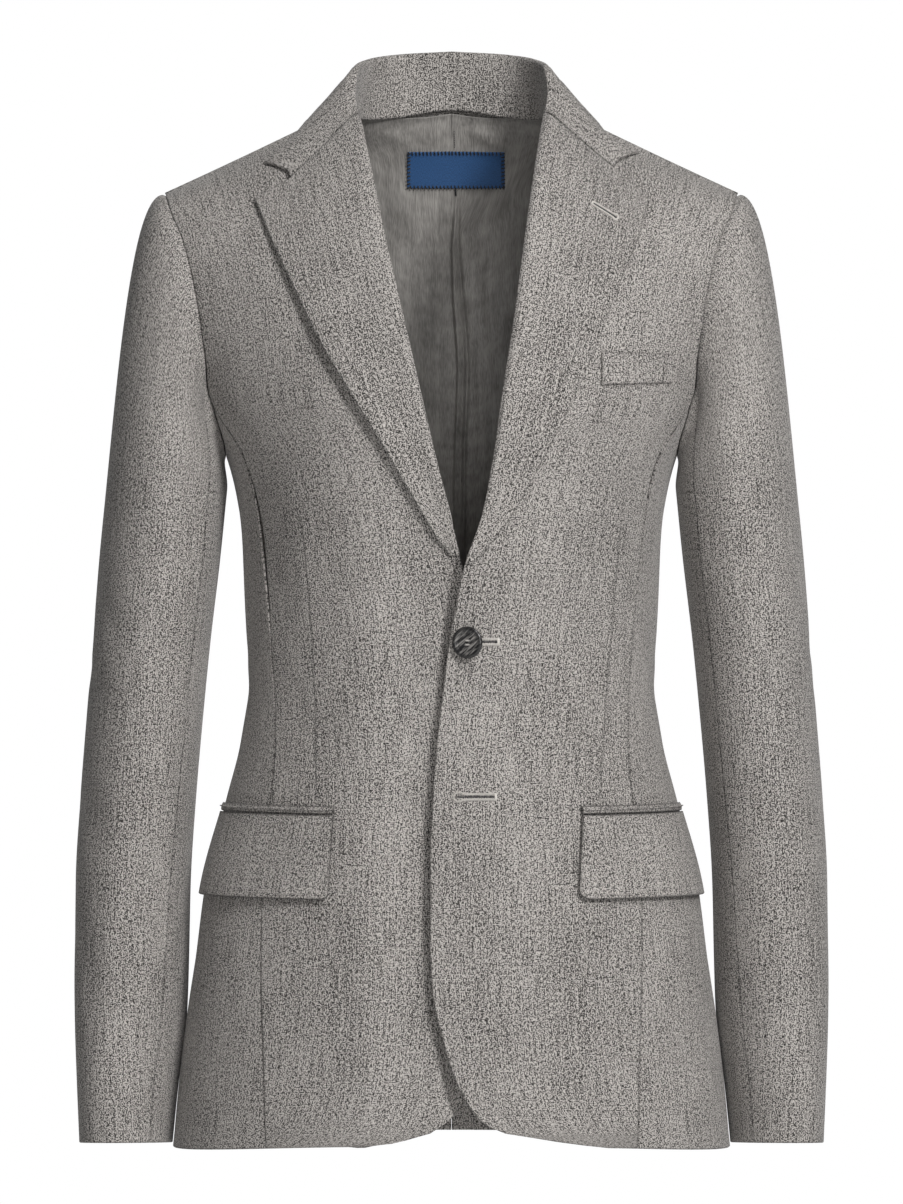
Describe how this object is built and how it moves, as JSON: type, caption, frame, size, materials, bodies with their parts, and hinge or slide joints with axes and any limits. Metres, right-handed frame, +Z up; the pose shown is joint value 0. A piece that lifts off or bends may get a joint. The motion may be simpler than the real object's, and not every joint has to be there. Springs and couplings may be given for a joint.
{
  "type": "single breasted blazer",
  "caption": "Single breasted tailored blazer in its hollow worn form, with notched lapels, flapped hip pockets, a breast welt and two-piece sleeves.",
  "frame": {"origin": "middle of the base of the neck, between the two shoulder seams, where the wearer's shoulders and nape carry the blazer", "axes": "+Z up, -Y towards the front of the blazer, +X towards the wearer's left"},
  "size_m": [0.5044, 0.2446, 0.7362],
  "materials": {
    "wool": "mid-grey salt-and-pepper worsted wool, matt with a soft nap",
    "lining_satin": "taupe-grey satin lining with a soft sheen",
    "label_weave": "plain navy woven label",
    "horn": "dark grey horn-effect button, polished"
  },
  "bodies": {
    "root": {"back_left": "wool", "back_lining": "lining_satin", "back_right": "wool", "breast_welt": "wool", "button_lower": "horn", "button_top": "horn", "collar": "wool", "flap_left": "wool", "flap_right": "wool", "front_left": "wool", "front_right": "wool", "jet_left": "wool", "jet_right": "wool", "label": "label_weave", "lapel_left": "wool", "lapel_right": "wool", "side_panel_left": "wool", "side_panel_right": "wool", "under_sleeve_left": "wool", "under_sleeve_right": "wool", "upper_sleeve_left": "wool", "upper_sleeve_right": "wool"}
  },
  "joints": []
}
